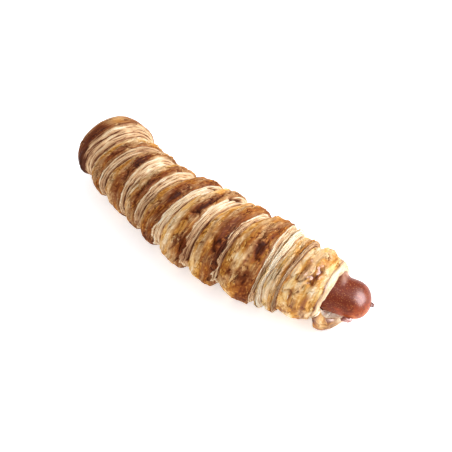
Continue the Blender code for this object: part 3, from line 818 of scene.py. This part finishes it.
def addFlake(bm, sections, chance, uvLayer, finish, layered):
    steps = chance.randint(*flakes["steps"])
    width = chance.uniform(*flakes["width"])
    onCut = chance.random() < flakes["cutShare"]
    firstRow, lastRow = flakes["skinMargin"], dough["skinRows"] - flakes["skinMargin"]
    if onCut:
        firstRow = dough["skinRows"] + 1
        lastRow = dough["skinRows"] + dough["layers"] - flakes["cutMargin"]
    column = chance.randint(dough["stepsPerTurn"] + 2, len(sections) - steps - flakes["lastSteps"])
    row = chance.uniform(firstRow, lastRow)
    lift = chance.uniform(*flakes["lift"])
    start = roll["tailStart"] + column / dough["stepsPerTurn"]
    low = math.cos(2 * math.pi * start) < flakes["lowest"]
    if low or flakes["none"][0] < start < flakes["none"][1]:
        return
    sheet = bmesh.ops.create_grid(bm, x_segments=steps, y_segments=flakes["segments"],
                                  size=0.5)["verts"]
    faces = list(dict.fromkeys(face for vert in sheet for face in vert.link_faces))
    copied = bmesh.ops.extrude_face_region(bm, geom=faces)["geom"]
    under = [part for part in copied if isinstance(part, bmesh.types.BMVert)]
    looks = {}
    for vert in [*sheet, *under]:
        vert[layered] = 1.0
        lengthwise, sideways = vert.co.x + 0.5, vert.co.y + 0.5
        here = column + round(lengthwise * steps)
        pointed = flakes["pointed"]
        taper = math.sin(math.pi * (pointed + (1 - 2 * pointed) * lengthwise))
        along, radius = sectionPoint(sections, here, row + sideways * width * taper)
        count = roll["tailStart"] + here / dough["stepsPerTurn"]
        up = lift * sideways ** flakes["curl"] * taper * (1 - 0.8 * lowFront(count))
        up -= flakes["sunk"] + (flakes["thickness"] if vert in under else 0.0)
        vert.co = aroundAxis(along, count, radius + up)
        level = bakeAndShadeAt(count, sections[here][round(row)]) - flakes["paler"] * (0.5 + sideways)
        looks[vert] = (alongUV(count), (row + sideways) / 10, clamp(level))
    for face in dict.fromkeys(face for vert in looks for face in vert.link_faces):
        for loop in face.loops:
            lengthwise, across, level = looks[loop.vert]
            loop[uvLayer].uv = (lengthwise, across)
            loop[finish] = (level, 1.0 if onCut else 0.0, flakes["dull"], 0.0)


def whereabouts(part):
    # a number that goes by a part's place alone
    verts = [part] if isinstance(part, bmesh.types.BMVert) else part.verts
    return sum(vert.co.dot(Vector((1.0, 0.37, 0.21))) for vert in verts) / len(verts)


def makeFlakes(sections, material):
    chance = random.Random(flakes["seed"])
    bm = bmesh.new()
    uvLayer = bm.loops.layers.uv.new("strip")
    finish = bm.loops.layers.float_color.new("finish")
    layered = bm.verts.layers.float.new("layered")
    for _ in range(flakes["number"]):
        addFlake(bm, sections, chance, uvLayer, finish, layered)
    # extruding leaves the parts in an order that changes from run to run
    for parts in (bm.verts, bm.edges, bm.faces):
        parts.sort(key=whereabouts)
    finishPiece("crustFlakes", bm, material, None)


# The sausage, in millimetres: its ends along the axis, its rounded tips, the knot of skin at the
# near tip, and where it swells out of the opening
sausage = dict(
    radius=10.6, far=-93.0, near=102.8, tip=11.5, tipPower=2.6, segments=96, rings=240,
    inset=0.02, knotRadius=1.3, knotLength=1.9, knotLumps=0.5, knotFade=0.7,
    bulgeAlong=85.5, bulgeCount=0.12, bulgeReach=4.0, bulgeSpread=0.17, bulgeHeight=1.9,
)


def bulgeAt(along, count):
    turned = (count - sausage["bulgeCount"] + 0.5) % 1 - 0.5
    apart = math.hypot((along - sausage["bulgeAlong"]) / sausage["bulgeReach"],
                       turned / sausage["bulgeSpread"])
    return smooth(1 - apart)


def sausageRadius(along, count):
    room = min(along - sausage["far"], sausage["near"] - along)
    share = clamp(room / sausage["tip"])
    body = sausage["radius"] * math.sqrt(1 - (1 - share) ** sausage["tipPower"])
    past = clamp((along - sausage["near"]) / sausage["knotLength"], -1.0, 1.0)
    knot = sausage["knotRadius"] * math.sqrt(1 - past**2)
    knot *= 1 + sausage["knotLumps"] * pattern("knotLump", along, count)
    return max(body, knot) + sausage["bulgeHeight"] * bulgeAt(along, count)


# The sausage's colours: above, in the middle and low down where it is more orange. These are
# painted shade and light: darker on top and towards the rim, lighter low down and towards the
# tip. Then its specks, and the scuffed skin where it swells, then how that painted shade goes
# with the height and the length, in metres, its noises' scale, stretch and detail and how much
# they change it, and its finish
sausageColours = dict(
    top=(0.15, 0.018, 0.003), middle=(0.32, 0.048, 0.009), low=(0.64, 0.18, 0.04),
    speck=(0.48, 0.18, 0.05), scuff=(0.50, 0.27, 0.19), knot=(0.15, 0.035, 0.02),
    shadeByHeight=38.0, shadeByLength=-21.0, start=1.9, clouds=1.4, grain=0.9,
    cloudNoise=(170.0, (1.0, 1.0, 1.0), 5.0), speckNoise=(2000.0, (1.0, 1.0, 1.0), 3.0),
    grainNoise=(500.0, (0.6, 1.4, 1.4), 4.0),
    roughness=0.32, specular=0.15, bump=0.3, relief=0.0003,
)


def sausageSkin():
    material, nodes, links, shader = newMaterial("sausageSkin")
    where = nodes.new("ShaderNodeTexCoord").outputs["Object"]
    clouds = noiseOf(nodes, links, where, *sausageColours["cloudNoise"])
    specks = noiseOf(nodes, links, where, *sausageColours["speckNoise"])
    grain = noiseOf(nodes, links, where, *sausageColours["grainNoise"])
    split = nodes.new("ShaderNodeSeparateXYZ")
    links.new(where, split.inputs["Vector"])
    # painted shade and light: darker higher up and towards the rim, lighter low down and towards
    # the tip
    level = mathOf(nodes, links, "MULTIPLY_ADD", split.outputs["Z"], sausageColours["shadeByHeight"],
                   sausageColours["start"])
    level = mathOf(nodes, links, "MULTIPLY_ADD", split.outputs["X"], sausageColours["shadeByLength"],
                   level)
    for value, name in ((clouds, "clouds"), (grain, "grain")):
        change = aroundZero(nodes, links, value, sausageColours[name])
        level = mathOf(nodes, links, "ADD", level, change)
    colour = rampOf(nodes, links, level, (
        (0.1, sausageColours["low"]), (0.5, sausageColours["middle"]),
        (0.95, sausageColours["top"])))
    dots = maskOf(nodes, links, specks, 0.58, 0.7)
    colour = mixOf(nodes, links, dots, colour, sausageColours["speck"])
    for name in ("scuff", "knot"):
        colour = mixOf(nodes, links, attributeOf(nodes, name)["Fac"], colour, sausageColours[name])
    links.new(colour, shader.inputs["Base Color"])
    shader.inputs["Roughness"].default_value = sausageColours["roughness"]
    shader.inputs["Specular IOR Level"].default_value = sausageColours["specular"]
    addBump(nodes, links, shader, specks, sausageColours["bump"], sausageColours["relief"])
    return material


def makeSausage():
    bm = bmesh.new()
    scuff = bm.verts.layers.float.new("scuff")
    knot = bm.verts.layers.float.new("knot")
    counts = [i / sausage["segments"] for i in range(sausage["segments"])]
    first = sausage["far"] + sausage["inset"]
    last = sausage["near"] + sausage["knotLength"] - sausage["inset"]
    rings = []
    for ring in range(sausage["rings"] + 1):
        share = (1 - math.cos(math.pi * ring / sausage["rings"])) / 2
        along = first + (last - first) * share
        points = [aroundAxis(along, count, sausageRadius(along, count)) for count in counts]
        verts = [bm.verts.new(point) for point in points]
        for vert, count in zip(verts, counts):
            torn = 0.6 + 1.2 * pattern("scuff", along, count)
            vert[scuff] = clamp(bulgeAt(along, count) * 1.5 * torn)
            vert[knot] = fade(along, sausage["near"] - sausage["knotFade"], sausage["near"])
        rings.append([bm.edges.new((verts[i - 1], verts[i])) for i in range(len(verts))])
    for one, two in zip(rings, rings[1:]):
        bmesh.ops.bridge_loops(bm, edges=one + two)
    for end in (rings[0], rings[-1]):
        bmesh.ops.edgeloop_fill(bm, edges=end)
    finishPiece("cookedSausage", bm, sausageSkin(), "sausage")


# The browned bit of crust that hangs under the sausage's tip, in millimetres, turns and degrees,
# how large and how near together its lumps are, and its colours and finish
crumb = dict(along=92.8, count=0.69, radius=11.6, size=(3.2, 1.6, 1.2), turned=39,
             lumps=((0.35, 1.7), (0.2, 4.0)),
             colour=(0.24, 0.055, 0.035), pale=(0.52, 0.2, 0.15),
             noise=(700.0, (1.0, 1.0, 1.0), 4.0), roughness=0.45, bump=0.6, relief=0.0004)


def crumbCrust():
    material, nodes, links, shader = newMaterial("crumbCrust")
    where = nodes.new("ShaderNodeTexCoord").outputs["Object"]
    lumps = noiseOf(nodes, links, where, *crumb["noise"])
    colour = rampOf(nodes, links, lumps, ((0.4, crumb["colour"]), (0.65, crumb["pale"])))
    links.new(colour, shader.inputs["Base Color"])
    shader.inputs["Roughness"].default_value = crumb["roughness"]
    addBump(nodes, links, shader, lumps, crumb["bump"], crumb["relief"])
    return material


def makeCrumb():
    bm = bmesh.new()
    ball = bmesh.ops.create_icosphere(bm, subdivisions=4, radius=1.0)["verts"]
    for vert in ball:
        vert.co *= 1 + sum(size * noise.noise(vert.co * near) for size, near in crumb["lumps"])
    bmesh.ops.scale(bm, vec=crumb["size"], verts=ball)
    turned = Matrix.Rotation(math.radians(crumb["turned"]), 3, "Z")
    bmesh.ops.rotate(bm, matrix=turned, verts=ball)
    middle = aroundAxis(crumb["along"], crumb["count"], crumb["radius"])
    bmesh.ops.translate(bm, vec=middle, verts=ball)
    finishPiece("crustCrumb", bm, crumbCrust(), None)


print("winding the dough")
crust = bakedDough()
woundStrip = makePastry(crust)
print("flaking it")
makeFlakes(woundStrip, crust)
makeCrumb()
print("filling it")
makeSausage()

# The floor, the sky and the two lamps, with where they stand, in metres
studio = dict(floorSize=3.0, floorColour=(0.86, 0.89, 0.93), floorGlow=0.47, floorRoughness=0.9,
              sky=0.85,
              keyPower=10.0, keySize=0.6, keyFrom=(0.45, 0.6, 0.75), keyTint=(1.0, 1.0, 1.0),
              sheenPower=125.0, sheenSize=0.95, sheenFrom=(0.78, 0.15, 0.56),
              sheenTint=(1.0, 0.96, 1.0))


def addFloor():
    bm = bmesh.new()
    bmesh.ops.create_grid(bm, x_segments=1, y_segments=1, size=studio["floorSize"] / 2)
    mesh = bpy.data.meshes.new("floor")
    bm.to_mesh(mesh)
    bm.free()
    material, nodes, links, shader = newMaterial("paleFloor")
    shader.inputs["Base Color"].default_value = (*studio["floorColour"], 1)
    shader.inputs["Emission Color"].default_value = (1, 1, 1, 1)
    shader.inputs["Emission Strength"].default_value = studio["floorGlow"]
    shader.inputs["Roughness"].default_value = studio["floorRoughness"]
    mesh.materials.append(material)
    floor = bpy.data.objects.new("floor", mesh)
    bpy.context.collection.objects.link(floor)


def addLamp(name):
    place = studio[name + "From"]
    lamp = bpy.data.lights.new(name, "AREA")
    lamp.energy = studio[name + "Power"]
    lamp.size = studio[name + "Size"]
    lamp.color = studio[name + "Tint"]
    holder = bpy.data.objects.new(name, lamp)
    holder.location = place
    holder.rotation_euler = (-Vector(place)).to_track_quat("-Z", "Y").to_euler()
    bpy.context.collection.objects.link(holder)
    return holder


def addSky():
    world = bpy.data.worlds.new("studio")
    world.use_nodes = True
    background = world.node_tree.nodes["Background"]
    background.inputs["Color"].default_value = (1, 1, 1, 1)
    background.inputs["Strength"].default_value = studio["sky"]
    bpy.context.scene.world = world


# The camera's distance, the point it looks at and the nearest that it sees, in metres, its angles
# in degrees, and its lens and sensor in millimetres
view = dict(azimuth=39.32, elevation=50.0, distance=0.55, target=(0.0039, 0.0067, 0.0191),
            lens=77.75, sensor=36, nearest=0.01)


def addCamera():
    azimuth, elevation = math.radians(view["azimuth"]), math.radians(view["elevation"])
    towards = Vector((-math.sin(azimuth) * math.cos(elevation),
                      math.cos(azimuth) * math.cos(elevation), -math.sin(elevation)))
    camera = bpy.data.cameras.new("camera")
    camera.lens = view["lens"]
    camera.sensor_width = view["sensor"]
    camera.clip_start = view["nearest"]
    holder = bpy.data.objects.new("camera", camera)
    holder.location = Vector(view["target"]) - towards * view["distance"]
    holder.rotation_euler = towards.to_track_quat("-Z", "Y").to_euler()
    bpy.context.collection.objects.link(holder)
    bpy.context.scene.camera = holder


print("setting the studio")
bpy.context.scene.view_settings.view_transform = "Standard"
addFloor()
addLamp("key")
# the sheen lamp only shows as a soft light patch on what is glossy
addLamp("sheen").visible_diffuse = False
addSky()
addCamera()
